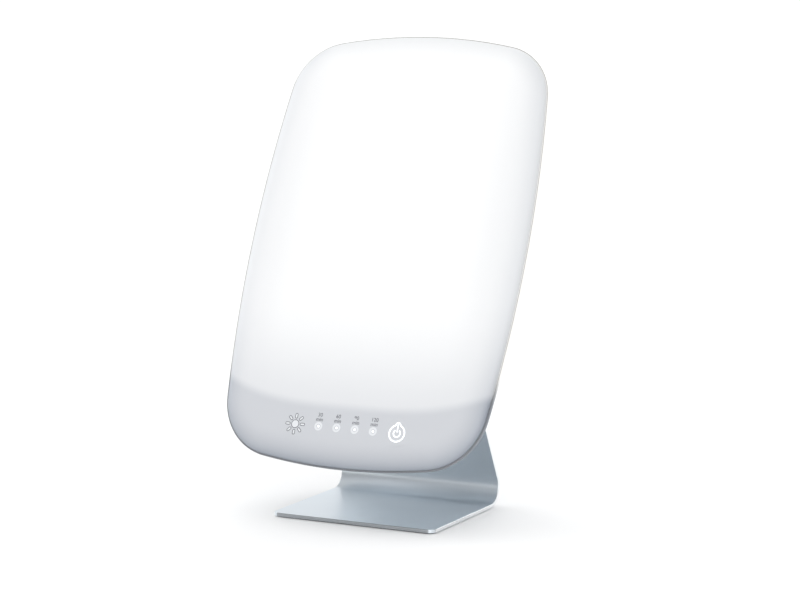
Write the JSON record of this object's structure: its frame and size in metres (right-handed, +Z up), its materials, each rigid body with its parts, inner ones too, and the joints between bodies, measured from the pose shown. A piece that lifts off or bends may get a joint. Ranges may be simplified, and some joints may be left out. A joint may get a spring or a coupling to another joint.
{
  "type": "light therapy lamp",
  "caption": "Light therapy lamp: a tall pillow-edged opal screen in a slim head that tilts on a bent aluminium sheet stand, with flush keys and a DC inlet.",
  "frame": {"origin": "middle of the anti-slip pad's underside", "axes": "+Z up, the screen faces -Y and leans back, +X to the right of someone facing the screen"},
  "size_m": [0.3358, 0.2164, 0.5172],
  "materials": {
    "satin_aluminium": "satin",
    "rubber_pad": "matte",
    "opal_screen": "satin opal",
    "white_shell": "fine satin",
    "key_face": "satin",
    "white_sheet": "matte white",
    "diffuser": "frosted",
    "led_board": "white solder mask",
    "led_phosphor": "phosphor",
    "green_board": "solder mask",
    "black_plastic": "moulded",
    "clear_guide": "clear",
    "zinc_steel": "zinc plated",
    "screw_steel": "nickel plated",
    "switch_metal": "stamped",
    "can_aluminium": "drawn",
    "lead_jacket": "soft",
    "brown_washer": "fibre",
    "grey_cap": "satin"
  },
  "bodies": {
    "stand": {"base_pad": "rubber_pad", "stand_plate": "satin_aluminium", "hinge_block": "satin_aluminium", "block_screws": "screw_steel"},
    "head": {"front_screen": "opal_screen", "rear_cover": "white_shell", "cover_screws": "screw_steel", "reflector_tray": "white_sheet", "tray_screws": "screw_steel", "diffuser_sheet": "diffuser", "led_strip_1": "led_board", "led_strip_2": "led_board", "led_strip_3": "led_board", "led_strip_4": "led_board", "led_strip_5": "led_board", "led_strip_6": "led_board", "strip_leds": "led_phosphor", "strip_links": "led_board", "control_carrier": "white_shell", "control_board": "green_board", "control_screws": "screw_steel", "power_switch": "switch_metal", "timer_switch": "switch_metal", "timer_light_guides": "clear_guide", "timer_leds": "led_phosphor", "driver_board": "green_board", "driver_screws": "screw_steel", "driver_capacitors": "can_aluminium", "driver_coil": "black_plastic", "driver_chips": "black_plastic", "driver_plugs": "white_shell", "board_link": "black_plastic", "dc_inlet": "black_plastic", "inlet_nut": "zinc_steel", "led_lead": "lead_jacket", "inlet_lead": "lead_jacket", "hinge_bracket": "zinc_steel", "backing_plate": "zinc_steel", "bracket_screws": "screw_steel", "hinge_pin": "zinc_steel", "friction_washers": "brown_washer", "disc_spring": "zinc_steel", "hinge_nut": "zinc_steel", "hinge_caps": "grey_cap"},
    "power_button": {"power_key": "key_face", "power_plunger": "black_plastic"},
    "timer_button": {"timer_key": "key_face", "timer_plunger": "black_plastic"}
  },
  "joints": [
    {"name": "head_tilt", "type": "hinge", "parent": "stand", "child": "head", "pos_m": [0, 0.00021, 0.17846], "axis": [1, 0, 0], "range_deg": [-15, 15]},
    {"name": "power_press", "type": "slide", "parent": "head", "child": "power_button", "axis": [0, 0.9107, -0.4131], "range_m": [0, 0.0006], "stiffness_N_per_m": 2500, "springref_m": -0.0002},
    {"name": "timer_press", "type": "slide", "parent": "head", "child": "timer_button", "axis": [0, 0.9107, -0.4131], "range_m": [0, 0.0006], "stiffness_N_per_m": 2500, "springref_m": -0.0002}
  ]
}
